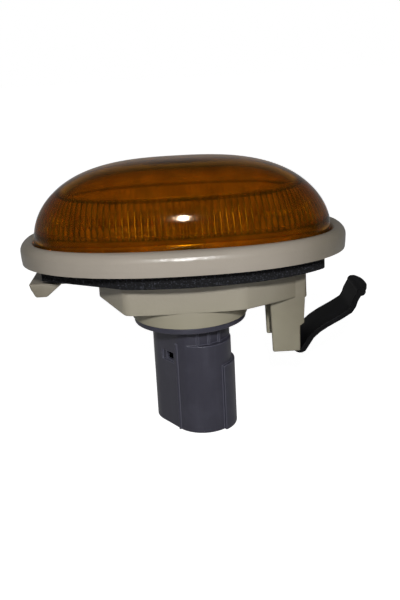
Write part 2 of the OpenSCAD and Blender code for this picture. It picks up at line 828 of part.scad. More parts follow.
// Half section of the envelope, smaller by d all round, from the level z upwards
module bulb_section(d, z) {
    r = bulb_r - d;
    intersection() {
        union() {
            translate([0, z_pinch + 3])
                square([r, bulb_h - 3 - bulb_r]);
            translate([0, z_bulb_top - bulb_r])
                circle(r);
            translate([0, z_pinch + 3])
                circle(r);
        }
        translate([0, z])
            square([bulb_dia, bulb_h]);
    }
}

// The bulb's glass: a hollow envelope on a wedge base, with two holes for the leads
module bulb_glass() {
    color([0.9, 0.95, 1, 0.4])
        at_holder()
            difference() {
                union() {
                    rotate_extrude()
                        bulb_section(0, z_pinch);
                    translate([-wedge_wid / 2, -wedge_t / 2, wedge_z])
                        cube([wedge_wid, wedge_t, wedge_h + 0.5]);
                }
                rotate_extrude()
                    bulb_section(bulb_t, z_pinch + 1.4);
                for (side = [-1, 1])
                    translate([side * lead_x, 0, wedge_z - 1])
                        cylinder(d = lead_dia + 0.1, h = wedge_h + 4, $fn = 24);
            }
}

// Top of the leads, where they hold the filament
z_filament = z_pinch + bulb_h * 0.46;

// The filament, a low arch between the two leads
module bulb_filament() {
    color("#8a8a8a")
        at_holder()
            translate([0, 0, z_filament])
                rotate([90, 0, 0])
                    rotate_extrude(angle = 180, $fn = 48)
                        translate([lead_x, 0])
                            circle(0.2, $fn = 16);
}

// A lead: up from the filament's foot through the pinch and folded back on the wedge
module bulb_lead(side) {
    r = lead_dia / 2;
    fold_y = side * (wedge_t / 2 + r + 0.05);
    fold_z = wedge_z - r - 0.05;
    at_holder()
        translate([side * lead_x, 0, 0]) {
            translate([0, 0, fold_z])
                cylinder(r = r, h = z_filament - fold_z - 0.01, $fn = 24);
            translate([0, 0, fold_z])
                sphere(r, $fn = 24);
            translate([0, 0, fold_z])
                rotate([-90 * side, 0, 0])
                    cylinder(r = r, h = abs(fold_y), $fn = 24);
            translate([0, fold_y, fold_z])
                sphere(r, $fn = 24);
            translate([0, fold_y, fold_z])
                cylinder(r = r, h = lead_tail, $fn = 24);
        }
}

module bulb_lead_left() {
    color("silver") bulb_lead(-1);
}

module bulb_lead_right() {
    color("silver") bulb_lead(1);
}

lens();
housing();
gasket();
spring_clip();
bulb_holder();
holder_seal();
terminal_left();
terminal_right();
bulb_glass();
bulb_filament();
bulb_lead_left();
bulb_lead_right();
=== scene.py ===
"""Looks of a side repeater lamp: amber fluted lens, cream housing, foam gasket, black clip, grey holder.

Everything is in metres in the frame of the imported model: Z = 0 is the panel's outer face, +Z points
out of the car, and +X points from the hook to the spring clip.
"""

import logging
import math
from dataclasses import dataclass
from enum import Enum
from typing import Any, Optional, Union

import bmesh
import bpy
import numpy as np
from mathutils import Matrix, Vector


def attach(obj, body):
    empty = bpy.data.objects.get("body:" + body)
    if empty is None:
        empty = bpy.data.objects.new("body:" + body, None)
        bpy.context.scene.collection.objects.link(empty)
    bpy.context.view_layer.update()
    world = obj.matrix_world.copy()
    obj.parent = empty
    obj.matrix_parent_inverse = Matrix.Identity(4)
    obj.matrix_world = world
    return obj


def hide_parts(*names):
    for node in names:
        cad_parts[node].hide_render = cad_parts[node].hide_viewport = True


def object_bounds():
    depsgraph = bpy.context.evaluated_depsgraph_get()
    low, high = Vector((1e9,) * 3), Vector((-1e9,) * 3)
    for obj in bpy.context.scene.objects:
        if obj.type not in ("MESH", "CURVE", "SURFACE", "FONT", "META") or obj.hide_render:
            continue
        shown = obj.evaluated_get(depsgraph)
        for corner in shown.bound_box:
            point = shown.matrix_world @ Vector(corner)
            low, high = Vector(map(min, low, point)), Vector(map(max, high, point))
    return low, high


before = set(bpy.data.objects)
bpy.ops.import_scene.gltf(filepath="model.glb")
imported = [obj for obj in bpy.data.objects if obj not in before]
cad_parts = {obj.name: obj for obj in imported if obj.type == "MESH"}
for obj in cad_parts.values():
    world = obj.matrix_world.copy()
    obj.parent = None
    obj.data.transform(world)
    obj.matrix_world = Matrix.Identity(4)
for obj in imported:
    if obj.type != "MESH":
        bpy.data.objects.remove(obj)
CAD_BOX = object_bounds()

log = logging.getLogger("side_repeater")
MM = 0.001
BODY = "root"

Colour = tuple[float, float, float]
Value = Union[float, int, Colour, "Wire"]


class Noise(Enum):
    """Kinds of pattern that a finish can be built on."""

    CLOUDS = "ShaderNodeTexNoise"
    CELLS = "ShaderNodeTexVoronoi"


class Ink(Enum):
    """Base colours of the finishes, as they look on screen (0 to 255)."""

    AMBER = (204, 145, 30)
    # Painted shade in the flute valleys and on the ring where the flutes end.
    AMBER_GROOVE_SHADE = (64, 24, 5)
    CREAM = (174, 165, 153)
    # Painted shade: the darker, yellower cream of the lower parts.
    CREAM_SHADED_LOW = (168, 162, 141)
    # Grime, and painted shade below, at the two ends and under those ends.
    CREAM_DIRT_AND_SHADE = (108, 101, 84)
    FOAM = (22, 22, 24)
    FOAM_SPECK = (74, 76, 84)
    CLIP = (13, 13, 14)
    HOLDER = (62, 61, 72)
    # Worn patches on the holder, and the painted highlight on its rounded edges.
    HOLDER_WEAR_AND_EDGE_HIGHLIGHT = (88, 88, 100)
    RUBBER = (36, 36, 40)
    BRASS = (196, 158, 84)
    STEEL = (150, 150, 152)
    CLEAR = (244, 246, 248)

    def linear(self) -> Colour:
        """Returns the colour in linear light, by the usual screen curve."""
        parts = [c / 255 for c in self.value]
        return tuple(c / 12.92 if c <= 0.04045 else ((c + 0.055) / 1.055) ** 2.4 for c in parts)

    def deep(self) -> Colour:
        """Returns the colour at 0.6 of its own light, for the darker parts of a pattern."""
        return tuple(c * 0.6 for c in self.linear())


class Wire:
    """A shader socket on which +, - and * add Math nodes."""

    def __init__(self, tree: "Tree", socket: bpy.types.NodeSocket) -> None:
        """Wraps a socket.

        Args:
            tree: the node tree that the socket belongs to.
            socket: an output socket of one of its nodes.
        """
        self.tree = tree
        self.socket = socket

    def _math(self, operation: str, first: Value, second: Value) -> "Wire":
        """Returns the result of one Math node on two values."""
        return self.tree.node("ShaderNodeMath", {"operation": operation}, {0: first, 1: second})

    def __add__(self, other: Value) -> "Wire":
        """Returns self + other."""
        return self._math("ADD", self, other)

    def __radd__(self, other: Value) -> "Wire":
        """Returns other + self."""
        return self._math("ADD", other, self)

    def __sub__(self, other: Value) -> "Wire":
        """Returns self - other."""
        return self._math("SUBTRACT", self, other)

    def __rsub__(self, other: Value) -> "Wire":
        """Returns other - self."""
        return self._math("SUBTRACT", other, self)

    def __mul__(self, other: Value) -> "Wire":
        """Returns self * other."""
        return self._math("MULTIPLY", self, other)

    def __rmul__(self, other: Value) -> "Wire":
        """Returns other * self."""
        return self._math("MULTIPLY", other, self)


class Tree:
    """A node tree that expressions on Wires add their nodes to."""

    def __init__(self, tree: bpy.types.NodeTree) -> None:
        """Wraps the node tree of a material or world."""
        self.tree = tree

    def _put(self, socket: bpy.types.NodeSocket, value: Value) -> None:
        """Links a Wire to an input socket, or sets the socket's own value."""
        if isinstance(value, Wire):
            self.tree.links.new(value.socket, socket)
        elif isinstance(value, tuple) and socket.type == "RGBA":
            socket.default_value = (*value, 1.0)
        else:
            socket.default_value = value

    def node(self, kind: str, settings: dict[str, Any], inputs: dict[Any, Value], output: Any = 0) -> Wire:
        """Adds one node.

        Args:
            kind: the node's type.
            settings: the node's own settings, set first.
            inputs: values or Wires by the name or number of the input socket.
            output: name or number of the output that is returned.

        Returns:
            The chosen output as a Wire.
        """
        made = self.tree.nodes.new(kind)
        for key, value in settings.items():
            setattr(made, key, value)
        for key, value in inputs.items():
            self._put(made.inputs[key], value)
        return Wire(self, made.outputs[output])

    def put(self, node: str, name: str, value: Value) -> None:
        """Sets or links the socket called name of the node of that name."""
        self._put(self.tree.nodes[node].inputs[name], value)

    def ramp(self, value: Wire, low: float, high: float) -> Wire:
        """Returns value mapped from low..high to 0..1 and held within it."""
        inputs: dict[Any, Value] = {"Value": value, "From Min": low, "From Max": high}
        return self.node("ShaderNodeMapRange", {"clamp": True}, inputs)

    def most(self, first: Value, second: Value) -> Wire:
        """Returns the larger of two values."""
        return self.node("ShaderNodeMath", {"operation": "MAXIMUM"}, {0: first, 1: second})

    def blend(self, mask: Value, first: Value, second: Value) -> Wire:
        """Returns the colour first where mask is 0 and second where it is 1."""
        return self.node("ShaderNodeMix", {"data_type": "RGBA"}, {0: mask, 6: first, 7: second}, 2)


class Shader(Tree):
    """One procedural material, a node tree that ends in a Principled shader."""

    def __init__(self, name: str, **constants: Value) -> None:
        """Makes the material.

        Args:
            name: the material's name.
            constants: values for the Principled shader's sockets, with _ for a space.
        """
        self.material = bpy.data.materials.new(name)
        self.material.use_nodes = True
        super().__init__(self.material.node_tree)
        for key, value in constants.items():
            self.feed(key.replace("_", " "), value)

    def feed(self, name: str, value: Value) -> None:
        """Sets or links the Principled shader's socket of that name."""
        self.put("Principled BSDF", name, value)

    def place(self) -> Wire:
        """Returns the Object coordinates."""
        return self.node("ShaderNodeTexCoord", {}, {}, "Object")

    def pattern(self, kind: Noise, scale: float, detail: float = 2.0, stretch: Colour = (1, 1, 1)) -> Wire:
        """Returns a pattern's value on Object coordinates.

        Args:
            kind: clouds or cells.
            scale: repeats for each metre.
            detail: octaves of the clouds.
            stretch: factors on the three axes.
        """
        where = self.node("ShaderNodeMapping", {}, {"Vector": self.place(), "Scale": stretch})
        inputs: dict[Any, Value] = {"Vector": where, "Scale": scale}
        if kind is Noise.CLOUDS:
            inputs["Detail"] = detail
        return self.node(kind.value, {}, inputs)

    def mark(self, name: str) -> Wire:
        """Returns the value that the mesh keeps at its points under that name."""
        return self.node("ShaderNodeAttribute", {"attribute_name": name}, {}, "Fac")

    def let_through(self, where: Wire, colour: Colour = (1.0, 1.0, 1.0)) -> None:
        """Lets light of that colour straight through the surface where the Wire is 1."""
        clear = self.node("ShaderNodeBsdfTransparent", {}, {"Color": colour})
        solid = Wire(self, self.tree.nodes["Principled BSDF"].outputs[0])
        both = self.node("ShaderNodeMixShader", {}, {0: where, 1: solid, 2: clear})
        self.put("Material Output", "Surface", both)

    def relief(self, height: Wire, depth: float, strength: float = 1.0) -> None:
        """Feeds Normal from a Bump node on a height of 0 to 1, with its depth in metres."""
        bump = self.node("ShaderNodeBump", {}, {"Height": height, "Distance": depth, "Strength": strength})
        self.feed("Normal", bump)


@dataclass(frozen=True)
class AmberPlastic:
    """Clear amber lens plastic: glossy outside, with a softer moulded inside.

    Attributes:
        outer_rough: roughness of the polished outside.
        inner_rough: roughness of the moulded inside.
        body: colour that its thickness lets through.
        density: how much a metre of it takes away.
        shade: colour of the light that one of its surfaces lets into the lamp.
        gleam: tint of its reflections, which are fainter than clear glass's.
    """

    outer_rough: float = 0.045
    inner_rough: float = 0.1
    body: Colour = (0.88, 0.855, 0.4)
    density: float = 1150.0
    shade: Colour = (0.97, 0.76, 0.22)
    gleam: Colour = (0.4, 0.3, 0.2)

    def make(self) -> bpy.types.Material:
        """Returns the material."""
        shader = Shader("amber_lens", Transmission_Weight=0.94, IOR=1.49, Specular_IOR_Level=0.3)
        shader.feed("Specular Tint", self.gleam)
        shader.let_through(shader.node("ShaderNodeLightPath", {}, {}, "Is Shadow Ray"), self.shade)
        depth = shader.node("ShaderNodeVolumeAbsorption", {}, {"Color": self.body, "Density": self.density})
        shader.put("Material Output", "Volume", depth)
        haze = shader.pattern(Noise.CLOUDS, 900.0, 4.0)
        rough = self.outer_rough + (self.inner_rough - self.outer_rough) * shader.mark("inside")
        shader.feed("Roughness", rough + haze * 0.02)
        patches = shader.ramp(shader.pattern(Noise.CLOUDS, 260.0, 3.0), 0.35, 0.7)
        amber = shader.blend(patches, Ink.AMBER.linear(), Ink.AMBER.deep())
        # Painted shade: the flute valleys and the ring where the flutes end are painted darker amber.
        shader.feed("Base Color", shader.blend(shader.mark("painted_groove_shade"), amber, Ink.AMBER_GROOVE_SHADE.linear()))
        shader.relief(haze, 0.00002, 0.5)
        return shader.material


@dataclass(frozen=True)
class CreamPlastic:
    """Aged cream moulding: satin, with grime, painted shade that darkens its lower parts, its two ends and the
    parts under those ends, and fine mould grain.

    Attributes:
        roughness: mean roughness.
        grain: depth of the grain in metres.
        dirt_and_shade: how much grime lies everywhere, and how much painted shade is added below, at the two
            ends and under those ends.
    """

    roughness: float = 0.25
    grain: float = 0.00009
    dirt_and_shade: tuple[float, float, float, float] = (0.06, 0.15, 0.7, 0.4)

    def make(self) -> bpy.types.Material:
        """Returns the material."""
        shader = Shader("cream_plastic", IOR=1.47)
        clouds = shader.pattern(Noise.CLOUDS, 45.0, 5.0)
        fine = shader.pattern(Noise.CLOUDS, 1300.0, 3.0)
        height = shader.node("ShaderNodeSeparateXYZ", {}, {0: shader.place()}, "Z")
        along = Wire(shader, height.socket.node.outputs["X"])
        # Painted shade: below rises towards the bottom, ends towards the two ends, and under marks the parts
        # beneath the rim, where the hook gets a painted shadow.
        below = 1.0 - shader.ramp(height, -0.012, 0.004)
        under = 1.0 - shader.ramp(height, -0.003, -0.0005)
        ends = shader.ramp(along * along, 0.00015, 0.0013)
        everywhere, shade_below, shade_ends, shade_under = self.dirt_and_shade
        patches = 0.3 + shader.ramp(clouds, 0.3, 0.7) * 0.7
        # Grime everywhere, plus painted shade below, at the ends and under the ends, all in cloud patches.
        dirt_and_shade = patches * (everywhere + below * shade_below + ends * (shade_ends + under * shade_under))
        # Painted shade: the lower parts take the darker, yellower cream.
        cream = shader.blend(below, Ink.CREAM.linear(), Ink.CREAM_SHADED_LOW.linear())
        shader.feed("Base Color", shader.blend(dirt_and_shade, cream, Ink.CREAM_DIRT_AND_SHADE.linear()))
        shader.feed("Roughness", self.roughness + clouds * 0.1 + below * 0.2)
        shader.relief(fine, self.grain, 0.5)
        return shader.material


@dataclass(frozen=True)
class FoamRubber:
    """Closed-cell black foam with light specks where cells are cut open.

    Attributes:
        cell: repeats of the cells for each metre.
    """

    cell: float = 1700.0

    def make(self) -> bpy.types.Material:
        """Returns the material."""
        shader = Shader("foam", Roughness=0.92, Specular_IOR_Level=0.25)
        cells = shader.pattern(Noise.CELLS, self.cell)
        specks = shader.ramp(shader.pattern(Noise.CLOUDS, 3000.0, 2.0), 0.57, 0.74)
        shader.feed("Base Color", shader.blend(specks, Ink.FOAM.linear(), Ink.FOAM_SPECK.linear()))
        shader.relief(cells, 0.00018, 0.9)
        return shader.material


@dataclass(frozen=True)
class MouldedPlastic:
    """Opaque moulded plastic of one colour with worn, lighter patches and mould grain.

    Attributes:
        name: the material's name.
        base: its colour.
        worn: colour of its worn patches.
        wear: share of the wear at its strongest.
        roughness: mean roughness.
        gloss: strength of its mirror reflection.
    """

    name: str
    base: Ink
    worn: Ink
    wear: float = 0.5
    roughness: float = 0.45
    gloss: float = 0.3

    def make(self) -> bpy.types.Material:
        """Returns the material."""
        shader = Shader(self.name, IOR=1.5, Specular_IOR_Level=self.gloss)
        patches = shader.ramp(shader.pattern(Noise.CLOUDS, 120.0, 6.0), 0.5, 0.78)
        streaks = shader.ramp(shader.pattern(Noise.CLOUDS, 500.0, 4.0, (1.0, 1.0, 0.12)), 0.5, 0.8)
        mask = (patches + streaks * 0.6) * self.wear
        shader.feed("Base Color", shader.blend(mask, self.base.linear(), self.worn.linear()))
        shader.feed("Roughness", self.roughness + mask * 0.2)
        shader.relief(shader.pattern(Noise.CLOUDS, 2200.0, 3.0), 0.00003, 0.5)
        return shader.material


@dataclass(frozen=True)
class BareMetal:
    """Stamped or drawn metal with fine lines along its length.

    Attributes:
        name: the material's name.
        base: its colour.
        roughness: mean roughness.
    """

    name: str
    base: Ink
    roughness: float = 0.3

    def make(self) -> bpy.types.Material:
        """Returns the material."""
        shader = Shader(self.name, Metallic=1.0)
        lines = shader.pattern(Noise.CLOUDS, 3000.0, 3.0, (1.0, 1.0, 0.1))
        shader.feed("Base Color", shader.blend(lines * 0.6, self.base.linear(), self.base.deep()))
        shader.feed("Roughness", self.roughness + lines * 0.15)
        return shader.material


@dataclass(frozen=True)
class BulbGlass:
    """Clear thin glass of the bulb, with a faint, patchy haze."""

    def make(self) -> bpy.types.Material:
        """Returns the material."""
        shader = Shader("bulb_clear", Transmission_Weight=1.0, IOR=1.45, Base_Color=Ink.CLEAR.linear())
        shader.feed("Roughness", shader.pattern(Noise.CLOUDS, 300.0) * 0.05)
        return shader.material


def oval(half_x: Any, half_y: Any, full: Any, turns: np.ndarray) -> np.ndarray:
    """Returns points on an oval.

    x = half_x * sign(cos t) * |cos t|^(2 / full), and y likewise with the sine, so full = 2 is an ellipse.
    """
    cos, sin = np.cos(turns), np.sin(turns)
    x = half_x * np.sign(cos) * np.abs(cos) ** (2 / full)
    y = half_y * np.sign(sin) * np.abs(sin) ** (2 / full)
    return np.stack([x, y], axis=-1)


def oval_out(half_x: float, half_y: float, full: float, turns: np.ndarray) -> np.ndarray:
    """Returns the outward unit directions at the points of an oval.

    They point along |cos t|^(2 - 2 / full) / half_x and |sin t|^(2 - 2 / full) / half_y, with the signs kept.
    """
    cos, sin = np.cos(turns), np.sin(turns)
    x = np.sign(cos) * np.abs(cos) ** (2 - 2 / full) / half_x
    y = np.sign(sin) * np.abs(sin) ** (2 - 2 / full) / half_y
    way = np.stack([x, y], axis=-1)
    return way / np.linalg.norm(way, axis=-1, keepdims=True)


def even_turns(half_x: float, half_y: float, full: float, count: int) -> np.ndarray:
    """Returns count angles that cut an oval into pieces of equal length.

    The running length over 7200 small steps is inverted by linear interpolation.
    """
    fine = np.linspace(0, 2 * np.pi, 7201)
    steps = np.linalg.norm(np.diff(oval(half_x, half_y, full, fine), axis=0), axis=1)
    run = np.concatenate([[0], np.cumsum(steps)])
    return np.interp(np.arange(count) * run[-1] / count, run, fine)


def sheet_faces(rows: int, columns: int) -> np.ndarray:
    """Returns the quads of a grid that is closed along its columns.

    Quad (i, j) joins rows i and i + 1 and columns j and j + 1, where the column after the last is the first.
    """
    i, j = np.meshgrid(np.arange(rows - 1), np.arange(columns), indexing="ij")
    k = (j + 1) % columns
    corners = [i * columns + j, (i + 1) * columns + j, (i + 1) * columns + k, i * columns + k]
    return np.stack(corners, axis=-1).reshape(-1, 4)


def new_piece(
    name: str, points: np.ndarray, faces: list[list[int]], material: bpy.types.Material
) -> bpy.types.Object:
    """Makes a smooth mesh object at the origin and ties it to the lamp's body.

    Args:
        name: the piece's name.
        points: its vertices in millimetres.
        faces: vertex numbers of each face.
        material: its finish.

    Returns:
        The object.
    """
    mesh = bpy.data.meshes.new(name)
    mesh.from_pydata((points * MM).tolist(), [], faces)
    mesh.validate()
    mesh.polygons.foreach_set("use_smooth", np.ones(len(mesh.polygons), dtype=bool))
    mesh.materials.append(material)
    mesh.update()
    piece = bpy.data.objects.new(name, mesh)
    bpy.context.scene.collection.objects.link(piece)
    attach(piece, BODY)
    return piece


@dataclass
class Lens:
    """The amber lens with its fluted inner wall, as one closed surface.

    Attributes:
        length: length of its foot.
        width: width of its foot.
        full: fullness of its oval.
        wall: wall thickness.
        foot_z: height of the foot line.
        low_z: height of the lens's lower edge.
        rise: height of the dome above the foot line.
        lean: how far the dome's top leans towards the hook.
        power_p: power on the share of the foot.
        power_m: power on the height.
        flutes: number of flutes.
        per_flute: points to each flute.
        ledge: height of the ledge under the flutes.
        depth: depth of a flute.
        flute_low: height above the foot line at which the flutes start.
        shoulder: how much fuller the inside of the crown is, halfway from the flutes to its top.
        flute_top: height above the foot line at which they start to fade.
        flute_high: height above the foot line at which they end.
        edge: width of the bevels on the lower edge.
        valley_shade: how dark the painted shade is in the valleys between flutes.
        outer_rows: rings of points on the outside.
        flute_rows: rings on the flutes.
        crown_rows: rings on the inside of the crown.
    """

    length: float = 74.0
    width: float = 40.4
    full: float = 2.54
    wall: float = 2.2
    foot_z: float = 8.9
    low_z: float = 5.9
    rise: float = 18.8
    lean: float = 0.6
    power_p: float = 2.88
    power_m: float = 2.0
    flutes: int = 120
    per_flute: int = 8
    ledge: float = 0.35
    depth: float = 0.5
    flute_low: float = 2.2
    shoulder: float = 0.2
    flute_top: float = 10.0
    flute_high: float = 10.5
    edge: float = 0.15
    valley_shade: float = 0.62
    outer_rows: int = 36
    flute_rows: int = 12
    crown_rows: int = 24

    def share(self, z: np.ndarray, rise: float) -> np.ndarray:
        """Returns the share g of the foot at the height z: g = (1 - (z / rise)^m)^(1 / p)."""
        return (1 - (z / rise) ** self.power_m) ** (1 / self.power_p)

    def height(self, g: np.ndarray, rise: float) -> np.ndarray:
        """Returns the dome's height at the share g: z = rise * (1 - g^p)^(1 / m)."""
        return rise * (1 - g**self.power_p) ** (1 / self.power_m)

    def rings(self, g: np.ndarray, z: np.ndarray, inset: float, turns: np.ndarray) -> np.ndarray:
        """Returns rings of points: ring k is the foot's oval, less inset, times g[k], at the height z[k]."""
        flat = oval(self.length / 2 - inset, self.width / 2 - inset, self.full, turns)
        out = np.empty((len(g), len(turns), 3))
        out[..., :2] = flat[None] * g[:, None, None]
        out[..., 2] = self.foot_z + z[:, None]
        return out

    def drawn_in(self, g: np.ndarray, turns: np.ndarray) -> np.ndarray:
        """Returns rings whose points leave the inner wall's foot at right angles to its oval.

        Ring k is that oval times g[k]. Its point for the turn t is foot(t) - s * out(t), with s found by 40
        halvings: there |x / (half_x g)|^full + |y / (half_y g)|^full is 1.

        Args:
            g: shares of the foot, one a ring.
            turns: angles round the oval, one a point.

        Returns:
            The points, indexed by ring, turn and axis x or y.
        """
        half_x, half_y = self.length / 2 - self.wall, self.width / 2 - self.wall
        foot = oval(half_x, half_y, self.full, turns)[None]
        out = oval_out(half_x, half_y, self.full, turns)[None]
        halves = np.array([half_x, half_y]) * g[:, None, None]
        near = np.zeros((len(g), len(turns)))
        far = near + 1.3 * half_x * (1 - g[:, None])
        for _ in range(40):
            way = (near + far) / 2
            spot = np.abs(foot - way[..., None] * out)
            outside = ((spot / halves) ** self.full).sum(axis=-1) > 1
            near, far = np.where(outside, way, near), np.where(outside, far, way)
        return foot - near[..., None] * out

    def across_flute(self, columns: int) -> np.ndarray:
        """Returns where each of the points of a ring lies across its flute, from 0 to 1."""
        return (np.arange(columns) % self.per_flute) / self.per_flute

    def flute_rings(self, z: np.ndarray, rise: float, turns: np.ndarray) -> np.ndarray:
        """Returns the fluted rings.

        Each point of the inner wall moves inwards by ledge + depth * (1 - (2 f - 1)^2), where f runs from
        0 to 1 over each flute, so every flute is a round rib.
        """
        f = self.across_flute(len(turns))
        move = self.ledge + self.depth * (1 - (2 * f - 1) ** 2)
        way = oval_out(1.0, (self.width / 2 - self.wall) / (self.length / 2 - self.wall), self.full, turns)
        out = np.empty((len(z), len(turns), 3))
        out[..., :2] = self.drawn_in(self.share(z, rise), turns) - move[None, :, None] * way[None]
        out[..., 2] = self.foot_z + z[:, None]
        return out

    def build(self, finish: AmberPlastic) -> bpy.types.Object:
        """Builds the lens from its crown down the outside, round the foot and up the inside.

        The inside of the crown stands higher than its oval by shoulder * 4 q (1 - q), where q is the square
        of the share of the way from the top to the flutes. Every point then moves towards the hook by lean
        times its height over the foot line, divided by rise. Two values kept at the points feed the finish:
        inside is 1 from the lower edge to the last of the flutes, and painted_groove_shade, a painted shade,
        is valley_shade * (1 - sin(pi f))^2 on the flutes and 1 on the ring where they end.

        Args:
            finish: the lens's plastic.

        Returns:
            The lens, which stands for the CAD node lens.
        """
        turns = even_turns(self.length / 2, self.width / 2, self.full, self.flutes * self.per_flute)
        outer_g = np.sin(np.linspace(0, np.pi / 2, self.outer_rows + 1)[1:])
        rise_in = self.rise - self.wall
        low = np.array([self.low_z - self.foot_z])
        one = np.array([1.0])
        start = np.array([self.flute_low])
        climb = np.sin(np.linspace(0, np.pi / 2, self.flute_rows))
        flute_z = self.flute_low + (self.flute_top - self.flute_low) * climb
        rows = [
            self.rings(outer_g, self.height(outer_g, self.rise), 0.0, turns),
            self.rings(one, low + self.edge, 0.0, turns),
            self.rings(one, low, self.edge, turns),
            self.rings(one, low, self.wall - self.edge, turns),
            self.rings(one, low + self.edge, self.wall, turns),
            self.rings(one, np.array([0.0]), self.wall, turns),
            self.rings(self.share(start, rise_in), start, self.wall, turns),
            self.flute_rings(flute_z, rise_in, turns),
        ]
        ring_g = self.share(np.array([self.flute_high]), rise_in)
        crown_g = np.linspace(ring_g[0], 0, self.crown_rows + 1)[:-1]
        part = (crown_g / ring_g) ** 2
        crown_z = self.height(crown_g, rise_in) + self.shoulder * 4 * part * (1 - part)
        crown = np.empty((len(crown_g), len(turns), 3))
        crown[..., :2] = self.drawn_in(ring_g, turns) * (crown_g / ring_g)[:, None, None]
        crown[..., 2] = self.foot_z + crown_z[:, None]
        rows.append(crown)
        grid = np.concatenate(rows)
        count, columns = grid.shape[:2]
        points = np.concatenate([
            grid.reshape(-1, 3),
            [[0, 0, self.foot_z + self.rise], [0, 0, self.foot_z + rise_in]],
        ])
        points[:, 0] -= self.lean * np.maximum(points[:, 2] - self.foot_z, 0) / self.rise
        top, under = count * columns, count * columns + 1
        ring = np.arange(columns)
        after = (ring + 1) % columns
        last = (count - 1) * columns
        faces = sheet_faces(count, columns).tolist()
        faces += np.stack([np.full(columns, top), ring, after], axis=-1).tolist()
        faces += np.stack([last + ring, np.full(columns, under), last + after], axis=-1).tolist()
        piece = new_piece("lens_shell", points, faces, finish.make())
        edge_in, first = self.outer_rows + 3, self.outer_rows + 6
        end = first + self.flute_rows
        inside, painted_groove_shade = np.zeros((count, columns)), np.zeros((count, columns))
        inside[edge_in:end] = 1.0
        # Painted shade: darker colour in the flute valleys and on the ring where the flutes end.
        painted_groove_shade[first:end] = self.valley_shade * (1 - np.sin(np.pi * self.across_flute(columns))) ** 2
        painted_groove_shade[end - 1:end + 1] = 1.0
        for name, values in (("inside", inside), ("painted_groove_shade", painted_groove_shade)):
            layer = piece.data.attributes.new(name, "FLOAT", "POINT")
            layer.data.foreach_set("value", np.append(values, [0.0, 0.0]).astype(np.float32))
        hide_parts("lens")
        return piece


